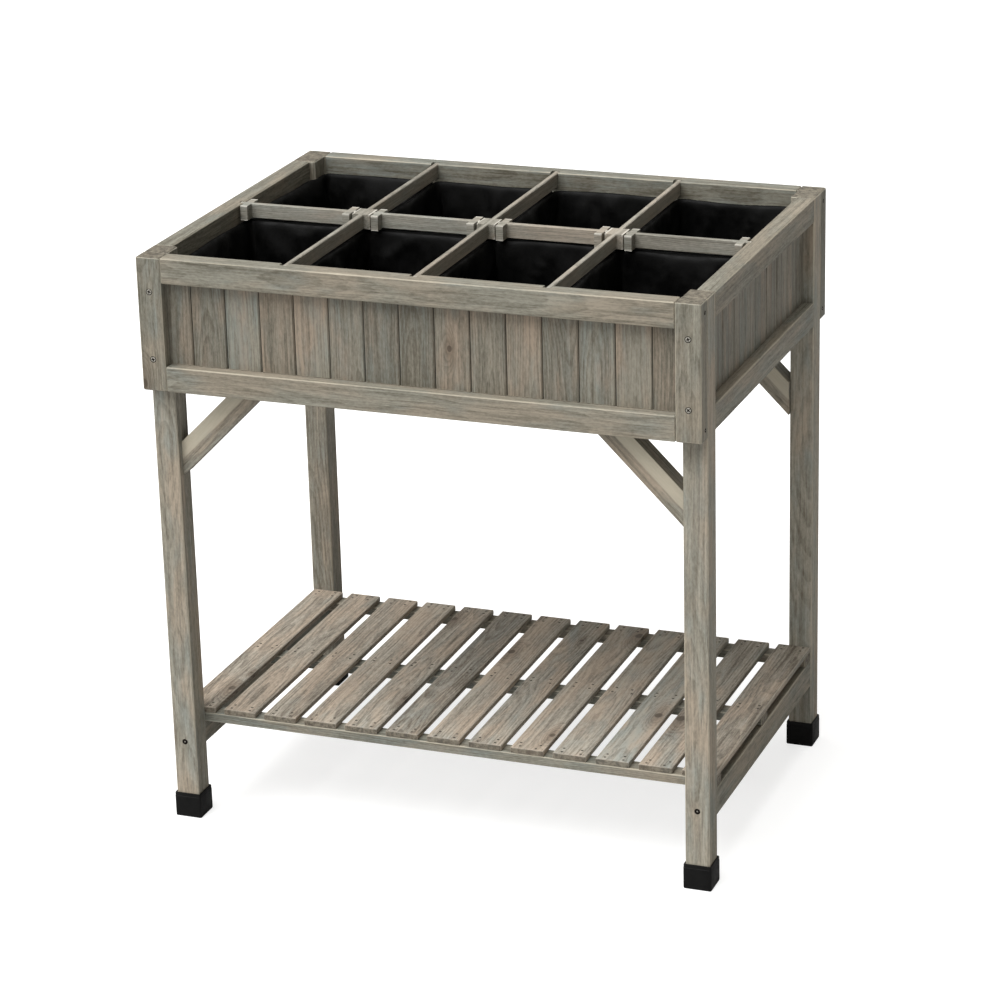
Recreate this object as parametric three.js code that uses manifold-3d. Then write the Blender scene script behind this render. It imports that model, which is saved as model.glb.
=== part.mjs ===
// Raised wooden planter on four legs, in millimetres, +Z up.
// A panelled box with an eight-pocket fabric liner stands on four square legs
// with moulded caps. Corner braces stiffen the frame, a slatted shelf ties the
// legs together near the floor, and a loose divider grid drops into slots in the
// rim of the box. The origin is on the ground, at the middle of the footprint,
// with the long side along X and the front facing -Y.

import * as THREE from 'three';
import { mergeVertices } from 'three/addons/utils/BufferGeometryUtils.js';
import Module from 'manifold-3d';

const wasm = await Module();
wasm.setup();

// ---- Driving dimensions ----

const LENGTH = 760;              // outside of the box along X
const WIDTH = 560;               // outside of the box along Y
const HEIGHT = 800;              // ground to rim
const BOX_HEIGHT = 180;          // rim to the underside of the box

const LEG = 33;                  // square section of a leg
const STILE_WIDTH = 34;          // corner post of the front and back panels
const PANEL_THICKNESS = 25;      // stiles and rails of all four walls
const RAIL_HEIGHT = 34;          // top and bottom rails of all four walls
const EASE = 1.5;                // eased edge on sawn timber
const FINE_EASE = 1;             // eased edge on thin battens

const BOARD_THICKNESS = 9;       // grooved infill boards
const BOARD_SETBACK = 15;        // infill face behind the face of the rails
const BOARD_PITCH = 48;          // one infill board
const LONG_WALL_SEAMS = 14;      // grooves between the boards of a front or back wall
const SIDE_WALL_SEAMS = 9;
const GROOVE_HALF = 2;           // half the mouth of a V groove
const GROOVE_DEPTH = 2.5;

const CAP_WALL = 2.5;            // moulded foot cap
const CAP_FLOOR = 3;
const CAP_HEIGHT = 35;
const CAP_CLEARANCE = 0.25;

const CLEAT_DEPTH = 30;          // ledges that carry the floor
const CLEAT_HEIGHT = 20;
const FLOOR_BOARDS = 4;
const FLOOR_BOARD_WIDTH = 130;
const FLOOR_BOARD_THICKNESS = 9;
const FLOOR_CLEARANCE = 1;       // floor board ends to the walls

const BRACE_WIDTH = 33;          // across the face of a diagonal brace
const BRACE_THICKNESS = 28;
const BRACE_SETBACK = 11;        // brace face behind the face of its leg
const BRACE_FOOT = 493;          // lowest point of a brace

const SHELF_RAIL_BOTTOM = 92;    // side rails of the shelf
const SHELF_RAIL_HEIGHT = 38;
const SHELF_RAIL_THICKNESS = 25;
const SHELF_SETBACK = 1;         // side rails behind the outside of the legs
const BATTEN_HEIGHT = 13;        // cross battens under the slats
const BATTEN_DEPTH = 25;
const SLAT_COUNT = 13;
const SLAT_WIDTH = 46;
const SLAT_THICKNESS = 8;
const SHELF_OVERHANG = 2;        // slats and battens in from the outside of the legs

const STRIP_THICKNESS = 7;       // divider strips
const STRIP_HEIGHT = 20;
const STRIP_DROP = 0.5;          // divider tops below the rim
const SLOT_DEPTH = 10;           // slots for the cross strips, in front and back rails
const SLOT_SLACK = 3.5;          // spare width of a slot on one side
const SIDE_SLOT_DEPTH = 5;       // slots for the long strips, in the side rails
const SLOT_PLAY = 0.5;           // slot ends and floors clear of the strips
const SPACER = 9;                // block fixed to a cross strip at a crossing
const SPACER_SPAN = 28;
const END_BLOCK = 10;            // block across the end of a long strip
const END_BLOCK_SPAN = 36;
const BLOCK_GAP = 3;             // open slot in front of an end block
const TIP_PLAY = 0.25;           // strip tip to the block it points at

const LINER_WALL = 2.5;          // fabric, with its folds
const LINER_CLEARANCE = 2;       // liner to legs and rails
const LINER_DROP = 1;            // liner hem below the divider strips
const POCKET_COLUMNS = 4;
const POCKET_ROWS = 2;
const CUT_MARGIN = 5;            // how far a cutting block runs past the cut face
const MERGE_DISTANCE = 1e-4;     // vertices this close are one vertex

// ---- Derived places ----

const HALF_LENGTH = LENGTH / 2;
const HALF_WIDTH = WIDTH / 2;
const BOX_BOTTOM = HEIGHT - BOX_HEIGHT;
const LEG_FRONT = HALF_WIDTH - PANEL_THICKNESS;
const LEG_BACK = LEG_FRONT - LEG;
const LEG_INSIDE = HALF_LENGTH - LEG;
const WALL_INSIDE_X = HALF_LENGTH - PANEL_THICKNESS;
const WALL_INSIDE_Y = LEG_FRONT;
const FLOOR_TOP = BOX_BOTTOM + CLEAT_HEIGHT + FLOOR_BOARD_THICKNESS;
const SHELF_RAIL_TOP = SHELF_RAIL_BOTTOM + SHELF_RAIL_HEIGHT;
const BATTEN_TOP = SHELF_RAIL_TOP + BATTEN_HEIGHT;
const SHELF_HALF_LENGTH = HALF_LENGTH - SHELF_OVERHANG;
const STRIP_TOP = HEIGHT - STRIP_DROP;
const STRIP_BOTTOM = STRIP_TOP - STRIP_HEIGHT;
const COLUMN_PITCH = (2 * WALL_INSIDE_X) / POCKET_COLUMNS;
const SIDES = [['left', -1], ['right', 1]];
const ENDS = [['front', -1], ['back', 1]];

// ---- Materials ----

const FRAME_COLOR = 0x8a8377;
const BOARD_COLOR = 0x7d776b;
const SHELF_COLOR = 0x8c8073;
const STRIP_COLOR = 0xa09a8c;
const CAP_COLOR = 0x101112;
const LINER_COLOR = 0x0b0b0c;

/** A finish with no metal in it, of the given colour and roughness. */
function finish(color, roughness) {
  return new THREE.MeshStandardMaterial({ color, roughness, metalness: 0 });
}

const timber = (color) => finish(color, 0.8);
const mouldedPlastic = () => finish(CAP_COLOR, 0.5);
const linerFabric = () => finish(LINER_COLOR, 0.95);

// ---- Geometry helpers ----

/** A rectangle of the given size, centred, with its four corners cut off. */
function easedSection(width, depth, ease) {
  const x = width / 2;
  const y = depth / 2;
  return new THREE.Shape([
    new THREE.Vector2(x, y - ease),
    new THREE.Vector2(x - ease, y),
    new THREE.Vector2(ease - x, y),
    new THREE.Vector2(-x, y - ease),
    new THREE.Vector2(-x, ease - y),
    new THREE.Vector2(ease - x, -y),
    new THREE.Vector2(x - ease, -y),
    new THREE.Vector2(x, ease - y),
  ]);
}

/** A bar along +Z from z = 0, with all twelve edges eased. */
function easedBar(width, depth, length, ease) {
  const bar = new THREE.ExtrudeGeometry(easedSection(width, depth, ease), {
    depth: length - 2 * ease,
    bevelEnabled: true,
    bevelThickness: ease,
    bevelSize: ease,
    bevelOffset: -ease,
    bevelSegments: 1,
    curveSegments: 1,
  });
  bar.translate(0, 0, ease);
  return bar;
}

/** A timber with eased edges between two corners, its length along the named axis. */
function timberBetween(low, high, axis, ease = EASE) {
  const size = low.map((value, i) => high[i] - value);
  const middle = low.map((value, i) => (high[i] + value) / 2);
  if (axis === 'x') {
    const bar = easedBar(size[2], size[1], size[0], ease);
    bar.rotateY(Math.PI / 2);
    return bar.translate(low[0], middle[1], middle[2]);
  }
  if (axis === 'y') {
    const bar = easedBar(size[0], size[2], size[1], ease);
    bar.rotateX(-Math.PI / 2);
    return bar.translate(middle[0], low[1], middle[2]);
  }
  return easedBar(size[0], size[1], size[2], ease).translate(middle[0], middle[1], low[2]);
}

/** A square-edged block between two corners. */
function block(low, high) {
  const size = low.map((value, i) => high[i] - value);
  const middle = low.map((value, i) => (high[i] + value) / 2);
  return new THREE.BoxGeometry(...size).translate(...middle);
}

/** A closed mesh as a manifold solid. */
function toSolid(geometry) {
  const bare = geometry.clone();
  bare.deleteAttribute('normal');
  bare.deleteAttribute('uv');
  const merged = mergeVertices(bare, MERGE_DISTANCE);
  return new wasm.Manifold(new wasm.Mesh({
    numProp: 3,
    vertProperties: new Float32Array(merged.attributes.position.array),
    triVerts: new Uint32Array(merged.index.array),
  }));
}

/** A manifold solid as a three.js geometry. */
function toGeometry(solid) {
  const mesh = solid.getMesh();
  const geometry = new THREE.BufferGeometry();
  geometry.setAttribute('position', new THREE.BufferAttribute(mesh.vertProperties, 3));
  geometry.setIndex(new THREE.BufferAttribute(mesh.triVerts, 1));
  const faceted = geometry.toNonIndexed();
  faceted.computeVertexNormals();
  return faceted;
}

/** The first geometry with all the others cut out of it. */
function cutFrom(geometry, cutters) {
  let solid = toSolid(geometry);
  for (const cutter of cutters) {
    solid = solid.subtract(toSolid(cutter));
  }
  return toGeometry(solid);
}

/** All the geometries joined into one body. */
function joined(geometries) {
  let solid = toSolid(geometries[0]);
  for (const piece of geometries.slice(1)) {
    solid = solid.add(toSolid(piece));
  }
  return toGeometry(solid);
}

const planter = new THREE.Group();

/** Adds a named piece to a group, the planter itself when none is given. */
function place(name, geometry, material, group = planter) {
  const mesh = new THREE.Mesh(geometry, material);
  mesh.name = name;
  group.add(mesh);
  return mesh;
}

// ---- Legs and foot caps ----

function legGeometry() {
  const half = LEG / 2;
  return timberBetween([-half, -half, CAP_FLOOR], [half, half, HEIGHT], 'z');
}

/** An open-topped moulded cup that the foot of a leg stands in. */
function footCapGeometry() {
  const inside = LEG / 2 + CAP_CLEARANCE;
  const outside = inside + CAP_WALL;
  const shell = easedBar(2 * outside, 2 * outside, CAP_HEIGHT, FINE_EASE);
  const hollow = block([-inside, -inside, CAP_FLOOR], [inside, inside, CAP_HEIGHT + CUT_MARGIN]);
  return cutFrom(shell, [hollow]);
}

function addLegs() {
  const x = HALF_LENGTH - LEG / 2;
  const y = LEG_FRONT - LEG / 2;
  for (const [end, ySign] of ENDS) {
    for (const [side, xSign] of SIDES) {
      const corner = new THREE.Group();
      corner.position.set(xSign * x, ySign * y, 0);
      place(`leg_${end}_${side}`, legGeometry(), timber(FRAME_COLOR), corner);
      place(`foot_cap_${end}_${side}`, footCapGeometry(), mouldedPlastic(), corner);
      planter.add(corner);
    }
  }
}

// ---- Walls of the box ----

/** A sheet of infill boards along X, its grooved face at y = 0 looking down -Y. */
function groovedBoards(span, height, seams) {
  const half = span / 2;
  const outline = [new THREE.Vector2(-half, 0)];
  for (const seam of seams) {
    outline.push(new THREE.Vector2(seam - GROOVE_HALF, 0));
    outline.push(new THREE.Vector2(seam, GROOVE_DEPTH));
    outline.push(new THREE.Vector2(seam + GROOVE_HALF, 0));
  }
  outline.push(new THREE.Vector2(half, 0));
  outline.push(new THREE.Vector2(half, BOARD_THICKNESS));
  outline.push(new THREE.Vector2(-half, BOARD_THICKNESS));
  return new THREE.ExtrudeGeometry(new THREE.Shape(outline), {
    depth: height,
    bevelEnabled: false,
  });
}

/** Seam places across a wall, one board apart, symmetrical about the middle. */
function seamPlaces(count) {
  return Array.from({ length: count }, (_, i) => (i - (count - 1) / 2) * BOARD_PITCH);
}

/** Slots in the inside of a top rail that lies along X with its outer face at y = 0. */
function crossStripSlots() {
  const half = STRIP_THICKNESS / 2;
  const back = PANEL_THICKNESS;
  const floor = STRIP_BOTTOM - SLOT_PLAY;
  return crossPlaces().map((x) => block(
    [x - half - SLOT_SLACK, back - SLOT_DEPTH, floor],
    [x + half + SLOT_PLAY, back + CUT_MARGIN, HEIGHT + CUT_MARGIN],
  ));
}

/** Where the cross strips of the divider grid stand along X. */
function crossPlaces() {
  return Array.from({ length: POCKET_COLUMNS - 1 }, (_, i) => (i + 1 - POCKET_COLUMNS / 2) * COLUMN_PITCH);
}

/** The front or back wall, drawn as a front wall whose outer face is at y = 0. */
function addLongWall(end, ySign) {
  const wall = new THREE.Group();
  wall.position.y = ySign * HALF_WIDTH;
  wall.scale.y = -ySign;
  planter.add(wall);

  const railEnd = HALF_LENGTH - STILE_WIDTH;
  for (const [side, xSign] of SIDES) {
    const inner = xSign * railEnd;
    const outer = xSign * HALF_LENGTH;
    const low = [Math.min(inner, outer), 0, BOX_BOTTOM];
    const high = [Math.max(inner, outer), PANEL_THICKNESS, HEIGHT];
    place(`${end}_stile_${side}`, timberBetween(low, high, 'z'), timber(FRAME_COLOR), wall);
  }

  const topRail = timberBetween(
    [-railEnd, 0, HEIGHT - RAIL_HEIGHT],
    [railEnd, PANEL_THICKNESS, HEIGHT],
    'x',
  );
  place(`${end}_top_rail`, cutFrom(topRail, crossStripSlots()), timber(FRAME_COLOR), wall);

  const bottomRail = timberBetween(
    [-railEnd, 0, BOX_BOTTOM],
    [railEnd, PANEL_THICKNESS, BOX_BOTTOM + RAIL_HEIGHT],
    'x',
  );
  place(`${end}_bottom_rail`, bottomRail, timber(FRAME_COLOR), wall);

  const boards = groovedBoards(2 * railEnd, BOX_HEIGHT - 2 * RAIL_HEIGHT, seamPlaces(LONG_WALL_SEAMS));
  boards.translate(0, BOARD_SETBACK, BOX_BOTTOM + RAIL_HEIGHT);
  place(`${end}_boards`, boards, timber(BOARD_COLOR), wall);
}

/** The left or right wall between the legs, drawn like a front wall and turned. */
function addSideWall(side, xSign) {
  const wall = new THREE.Group();
  wall.position.x = xSign * HALF_LENGTH;
  wall.rotation.z = xSign * Math.PI / 2;
  planter.add(wall);

  const topRail = timberBetween(
    [-LEG_BACK, 0, HEIGHT - RAIL_HEIGHT],
    [LEG_BACK, PANEL_THICKNESS, HEIGHT],
    'x',
  );
  const half = STRIP_THICKNESS / 2 + SLOT_PLAY;
  const slot = block(
    [-half, PANEL_THICKNESS - SIDE_SLOT_DEPTH, STRIP_BOTTOM - SLOT_PLAY],
    [half, PANEL_THICKNESS + CUT_MARGIN, HEIGHT + CUT_MARGIN],
  );
  place(`${side}_top_rail`, cutFrom(topRail, [slot]), timber(FRAME_COLOR), wall);

  const bottomRail = timberBetween(
    [-LEG_BACK, 0, BOX_BOTTOM],
    [LEG_BACK, PANEL_THICKNESS, BOX_BOTTOM + RAIL_HEIGHT],
    'x',
  );
  place(`${side}_bottom_rail`, bottomRail, timber(FRAME_COLOR), wall);

  const boards = groovedBoards(2 * LEG_BACK, BOX_HEIGHT - 2 * RAIL_HEIGHT, seamPlaces(SIDE_WALL_SEAMS));
  boards.translate(0, BOARD_SETBACK, BOX_BOTTOM + RAIL_HEIGHT);
  place(`${side}_boards`, boards, timber(BOARD_COLOR), wall);
}

// ---- Floor of the box ----

function addFloor() {
  const cleatTop = BOX_BOTTOM + CLEAT_HEIGHT;
  const cleatHalf = LEG_INSIDE - FLOOR_CLEARANCE;
  for (const [end, ySign] of ENDS) {
    const wall = ySign * WALL_INSIDE_Y;
    const free = ySign * (WALL_INSIDE_Y - CLEAT_DEPTH);
    const low = [-cleatHalf, Math.min(wall, free), BOX_BOTTOM];
    const high = [cleatHalf, Math.max(wall, free), cleatTop];
    place(`floor_cleat_${end}`, timberBetween(low, high, 'x', FINE_EASE), timber(FRAME_COLOR));
  }
  const reach = WALL_INSIDE_Y - FLOOR_CLEARANCE;
  for (let i = 0; i < FLOOR_BOARDS; i += 1) {
    const x = (i - (FLOOR_BOARDS - 1) / 2) * COLUMN_PITCH;
    const low = [x - FLOOR_BOARD_WIDTH / 2, -reach, cleatTop];
    const high = [x + FLOOR_BOARD_WIDTH / 2, reach, FLOOR_TOP];
    place(`floor_board_${i + 1}`, timberBetween(low, high, 'y', FINE_EASE), timber(BOARD_COLOR));
  }
}

// ---- Corner braces ----

/** A 45 degree brace, cut upright against a leg at x = 0 and level at the box. */
function braceGeometry() {
  const cut = BRACE_WIDTH * Math.SQRT2;
  const rise = BOX_BOTTOM - BRACE_FOOT;
  const outline = new THREE.Shape([
    new THREE.Vector2(0, 0),
    new THREE.Vector2(rise, rise),
    new THREE.Vector2(rise - cut, rise),
    new THREE.Vector2(0, cut),
  ]);
  const brace = new THREE.ExtrudeGeometry(outline, {
    depth: BRACE_THICKNESS,
    bevelEnabled: false,
  });
  return brace.rotateX(Math.PI / 2);
}

function addBraces() {
  const face = LEG_FRONT - BRACE_SETBACK;
  for (const [end, ySign] of ENDS) {
    for (const [side, xSign] of SIDES) {
      const corner = new THREE.Group();
      corner.position.set(xSign * LEG_INSIDE, ySign * face, BRACE_FOOT);
      corner.scale.set(-xSign, ySign, 1);
      place(`brace_${end}_${side}`, braceGeometry(), timber(FRAME_COLOR), corner);
      planter.add(corner);
    }
  }
}

// ---- Shelf ----

function addShelf() {
  for (const [side, xSign] of SIDES) {
    const outer = xSign * (HALF_LENGTH - SHELF_SETBACK);
    const inner = outer - xSign * SHELF_RAIL_THICKNESS;
    const low = [Math.min(inner, outer), -LEG_BACK, SHELF_RAIL_BOTTOM];
    const high = [Math.max(inner, outer), LEG_BACK, SHELF_RAIL_TOP];
    place(`shelf_rail_${side}`, timberBetween(low, high, 'y'), timber(SHELF_COLOR));
  }
  const battenReach = LEG_BACK - BATTEN_DEPTH / 2;
  for (const [name, y] of [['front', -battenReach], ['middle', 0], ['back', battenReach]]) {
    const low = [-SHELF_HALF_LENGTH, y - BATTEN_DEPTH / 2, SHELF_RAIL_TOP];
    const high = [SHELF_HALF_LENGTH, y + BATTEN_DEPTH / 2, BATTEN_TOP];
    place(`shelf_batten_${name}`, timberBetween(low, high, 'x', FINE_EASE), timber(SHELF_COLOR));
  }
  const pitch = (2 * SHELF_HALF_LENGTH - SLAT_WIDTH) / (SLAT_COUNT - 1);
  for (let i = 0; i < SLAT_COUNT; i += 1) {
    const left = -SHELF_HALF_LENGTH + i * pitch;
    const low = [left, -LEG_BACK, BATTEN_TOP];
    const high = [left + SLAT_WIDTH, LEG_BACK, BATTEN_TOP + SLAT_THICKNESS];
    const name = `shelf_slat_${String(i + 1).padStart(2, '0')}`;
    place(name, timberBetween(low, high, 'y', FINE_EASE), timber(SHELF_COLOR));
  }
}

// ---- Divider grid ----

/** A block standing across the middle of the grid, from one x to another. */
function gridBlock(fromX, toX, span) {
  return block([fromX, -span / 2, STRIP_BOTTOM], [toX, span / 2, STRIP_TOP]);
}

/** A strip from front to back with a spacer block on each side of its middle. */
function crossStripGeometry() {
  const half = STRIP_THICKNESS / 2;
  const reach = WALL_INSIDE_Y + SLOT_DEPTH - SLOT_PLAY;
  const strip = timberBetween([-half, -reach, STRIP_BOTTOM], [half, reach, STRIP_TOP], 'y', FINE_EASE);
  return joined([strip, gridBlock(-half - SPACER, half + SPACER, SPACER_SPAN)]);
}

/** A strip along X between two places, with an end block set back from each tip. */
function longStripGeometry(low, high, lowBlock, highBlock) {
  const half = STRIP_THICKNESS / 2;
  const strip = timberBetween([low, -half, STRIP_BOTTOM], [high, half, STRIP_TOP], 'x', FINE_EASE);
  return joined([
    strip,
    gridBlock(lowBlock, lowBlock + END_BLOCK, END_BLOCK_SPAN),
    gridBlock(highBlock - END_BLOCK, highBlock, END_BLOCK_SPAN),
  ]);
}

function addDividers() {
  const places = crossPlaces();
  places.forEach((x, i) => {
    const strip = place(`cross_divider_${i + 1}`, crossStripGeometry(), timber(STRIP_COLOR));
    strip.position.x = x;
  });
  const spacerFace = STRIP_THICKNESS / 2 + SPACER;
  const wallTip = WALL_INSIDE_X + SIDE_SLOT_DEPTH - SLOT_PLAY;
  for (let i = 0; i < POCKET_COLUMNS; i += 1) {
    const atLeftWall = i === 0;
    const atRightWall = i === POCKET_COLUMNS - 1;
    const leftFace = atLeftWall ? -WALL_INSIDE_X : places[i - 1] + spacerFace;
    const rightFace = atRightWall ? WALL_INSIDE_X : places[i] - spacerFace;
    const geometry = longStripGeometry(
      atLeftWall ? -wallTip : leftFace + TIP_PLAY,
      atRightWall ? wallTip : rightFace - TIP_PLAY,
      leftFace + BLOCK_GAP,
      rightFace - BLOCK_GAP,
    );
    place(`long_divider_${i + 1}`, geometry, timber(STRIP_COLOR));
  }
}

// ---- Liner ----

function addLiner() {
  const halfX = LEG_INSIDE - LINER_CLEARANCE;
  const halfY = WALL_INSIDE_Y - LINER_CLEARANCE;
  const top = STRIP_BOTTOM - LINER_DROP;
  const shell = block([-halfX, -halfY, FLOOR_TOP], [halfX, halfY, top]);
  const wallHalf = LINER_WALL / 2;
  const pockets = [];
  for (let column = 0; column < POCKET_COLUMNS; column += 1) {
    const left = (column - POCKET_COLUMNS / 2) * COLUMN_PITCH + wallHalf;
    const right = left + COLUMN_PITCH - LINER_WALL;
    for (let row = 0; row < POCKET_ROWS; row += 1) {
      const front = row === 0 ? LINER_WALL - halfY : wallHalf;
      const back = row === 0 ? -wallHalf : halfY - LINER_WALL;
      pockets.push(block(
        [Math.max(left, LINER_WALL - halfX), front, FLOOR_TOP + LINER_WALL],
        [Math.min(right, halfX - LINER_WALL), back, top + CUT_MARGIN],
      ));
    }
  }
  place('liner', cutFrom(shell, pockets), linerFabric());
}

// ---- Assembly ----

addLegs();
ENDS.forEach(([end, ySign]) => addLongWall(end, ySign));
SIDES.forEach(([side, xSign]) => addSideWall(side, xSign));
addFloor();
addBraces();
addShelf();
addDividers();
addLiner();

export default planter;
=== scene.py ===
"""Looks of a raised wooden planter on legs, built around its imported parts.

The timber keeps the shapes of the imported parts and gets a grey-washed softwood
finish that follows each board's own grain. The liner, the foot caps and the
screws, bolts and nails are modelled here. All lengths are in metres.
"""

from __future__ import annotations

import logging
import math
import random
from collections.abc import Iterable
from dataclasses import dataclass, field, replace
from enum import Enum

import bmesh
import bpy
from mathutils import Euler, Matrix, Vector, noise


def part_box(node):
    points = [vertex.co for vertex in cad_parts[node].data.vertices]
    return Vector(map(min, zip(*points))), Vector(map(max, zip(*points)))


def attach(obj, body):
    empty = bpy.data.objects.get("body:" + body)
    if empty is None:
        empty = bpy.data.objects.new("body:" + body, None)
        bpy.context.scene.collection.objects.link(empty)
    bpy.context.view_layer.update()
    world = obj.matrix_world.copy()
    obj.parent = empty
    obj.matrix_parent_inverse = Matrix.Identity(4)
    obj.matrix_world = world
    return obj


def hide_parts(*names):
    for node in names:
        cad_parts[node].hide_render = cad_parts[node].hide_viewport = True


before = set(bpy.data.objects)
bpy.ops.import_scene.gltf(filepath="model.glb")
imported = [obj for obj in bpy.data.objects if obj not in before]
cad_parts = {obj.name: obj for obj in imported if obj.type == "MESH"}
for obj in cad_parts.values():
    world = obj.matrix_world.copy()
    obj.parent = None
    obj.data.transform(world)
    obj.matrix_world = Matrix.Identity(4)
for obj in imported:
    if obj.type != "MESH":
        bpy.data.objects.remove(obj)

LOG = logging.getLogger("planter")
PLANTER_BODY = "planter"
GRID_BODY = "divider_grid"

Colour = tuple[float, float, float]
Triple = tuple[float, float, float]
Feed = float | Triple | Colour | bpy.types.NodeSocket


class Axis(Enum):
    """A direction that a board's grain can run in."""

    X = (1.0, 0.0, 0.0)
    Y = (0.0, 1.0, 0.0)
    Z = (0.0, 0.0, 1.0)
    RISING = (math.sqrt(0.5), 0.0, math.sqrt(0.5))
    FALLING = (-math.sqrt(0.5), 0.0, math.sqrt(0.5))


class Kind(Enum):
    """What a group's socket carries."""

    VALUE = "NodeSocketFloat"
    VECTOR = "NodeSocketVector"
    COLOUR = "NodeSocketColor"


# ---- Node trees ----


class Graph:
    """A node tree being filled in, with short calls for the nodes it uses."""

    def __init__(self, tree: bpy.types.NodeTree) -> None:
        """Starts on a tree.

        Args:
            tree: The tree to add nodes to.
        """
        self.tree = tree

    def put(self, kind: str, feeds: dict[str | int, Feed] | None = None, **settings: object) -> bpy.types.Node:
        """Adds one node.

        Args:
            kind: Blender's name of the node type.
            feeds: Socket name or number to the value or socket that feeds it.
            settings: Properties of the node.

        Returns:
            The new node.
        """
        node = self.tree.nodes.new(kind)
        for name, value in settings.items():
            setattr(node, name, value)
        for name, value in (feeds or {}).items():
            self.feed(node.inputs[name], value)
        return node

    def feed(self, socket: bpy.types.NodeSocket, value: Feed) -> None:
        """Links a socket to another, or sets its own value.

        Args:
            socket: The input to feed.
            value: A socket, a number, a vector or a colour.
        """
        if isinstance(value, bpy.types.NodeSocket):
            self.tree.links.new(value, socket)
        elif isinstance(value, (int, float)):
            socket.default_value = value
        else:
            room = len(socket.default_value)
            socket.default_value = (*value, 1.0)[:room]

    def calc(self, operation: str, *values: Feed, clamp: bool = False) -> bpy.types.NodeSocket:
        """Returns the result of one Math node."""
        node = self.put("ShaderNodeMath", dict(enumerate(values)), operation=operation, use_clamp=clamp)
        return node.outputs[0]

    def vector(self, operation: str, *values: Feed) -> bpy.types.NodeSocket:
        """Returns the result of one Vector Math node.

        Args:
            operation: The node's operation.
            values: Its inputs in order. A plain number for SCALE feeds Scale.

        Returns:
            The vector, or the value for an operation that gives one.
        """
        node = self.put("ShaderNodeVectorMath", operation=operation)
        for place, value in enumerate(values):
            last_scale = operation == "SCALE" and place == 1
            self.feed(node.inputs["Scale"] if last_scale else node.inputs[place], value)
        gives_value = operation in ("DOT_PRODUCT", "LENGTH", "DISTANCE")
        return node.outputs["Value" if gives_value else "Vector"]

    def split(self, vector: bpy.types.NodeSocket) -> list[bpy.types.NodeSocket]:
        """Returns the three parts of a vector."""
        return list(self.put("ShaderNodeSeparateXYZ", {0: vector}).outputs)

    def join(self, x: Feed, y: Feed, z: Feed) -> bpy.types.NodeSocket:
        """Returns a vector made of three values."""
        return self.put("ShaderNodeCombineXYZ", {0: x, 1: y, 2: z}).outputs[0]

    def blend(self, share: Feed, first: Feed, second: Feed, how: str = "MIX") -> bpy.types.NodeSocket:
        """Returns two colours mixed.

        Args:
            share: How much of the second one.
            first: The colour at share 0.
            second: The colour at share 1.
            how: The blend type.

        Returns:
            The mixed colour.
        """
        node = self.put("ShaderNodeMix", data_type="RGBA", blend_type=how, clamp_factor=True)
        for name, value in (("Factor_Float", share), ("A_Color", first), ("B_Color", second)):
            socket = next(s for s in node.inputs if s.identifier == name)
            self.feed(socket, value)
        return next(s for s in node.outputs if s.identifier == "Result_Color")

    def ramp(self, value: Feed, low: Feed, high: Feed, start: Feed = 0.0, end: Feed = 1.0) -> bpy.types.NodeSocket:
        """Returns a value eased from start to end while it goes from low to high."""
        feeds = {"Value": value, "From Min": low, "From Max": high, "To Min": start, "To Max": end}
        node = self.put("ShaderNodeMapRange", feeds, interpolation_type="SMOOTHSTEP")
        return node.outputs["Result"]

    def noise(self, place: Feed, scale: float, detail: float = 2.0, rough: float = 0.5) -> bpy.types.NodeSocket:
        """Returns a smooth random value about a half.

        Args:
            place: Where it is read.
            scale: Repeats to a unit of place.
            detail: Octaves.
            rough: Share of the finer octaves.

        Returns:
            The value socket.
        """
        feeds = {"Vector": place, "Scale": scale, "Detail": detail, "Roughness": rough}
        return self.put("ShaderNodeTexNoise", feeds, noise_dimensions="3D").outputs[0]

    def use(self, group: bpy.types.NodeTree, feeds: dict[str, Feed]) -> dict[str, bpy.types.NodeSocket]:
        """Places a group.

        Args:
            group: The group's tree.
            feeds: Its inputs by name.

        Returns:
            Its outputs by name.
        """
        node = self.put("ShaderNodeGroup", node_tree=group)
        for name, value in feeds.items():
            self.feed(node.inputs[name], value)
        return {s.name: s for s in node.outputs}


class Effect(Graph):
    """A shader group under construction, with named inputs and outputs."""

    def __init__(self, name: str, inputs: dict[str, Kind], outputs: dict[str, Kind]) -> None:
        """Makes the group's tree and its sockets.

        Args:
            name: The group's name.
            inputs: Input names and what they carry.
            outputs: Output names and what they carry.
        """
        super().__init__(bpy.data.node_groups.new(name, "ShaderNodeTree"))
        for title, kind in inputs.items():
            self.tree.interface.new_socket(name=title, in_out="INPUT", socket_type=kind.value)
        for title, kind in outputs.items():
            self.tree.interface.new_socket(name=title, in_out="OUTPUT", socket_type=kind.value)
        self.given = {s.name: s for s in self.put("NodeGroupInput").outputs if s.name}
        self.gives = self.put("NodeGroupOutput")

    def give(self, **results: Feed) -> bpy.types.NodeTree:
        """Feeds the outputs and returns the finished tree.

        Args:
            results: Output names, with underscores for spaces, to sockets.

        Returns:
            The group's tree.
        """
        for name, value in results.items():
            self.feed(self.gives.inputs[name.replace("_", " ")], value)
        return self.tree


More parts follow.
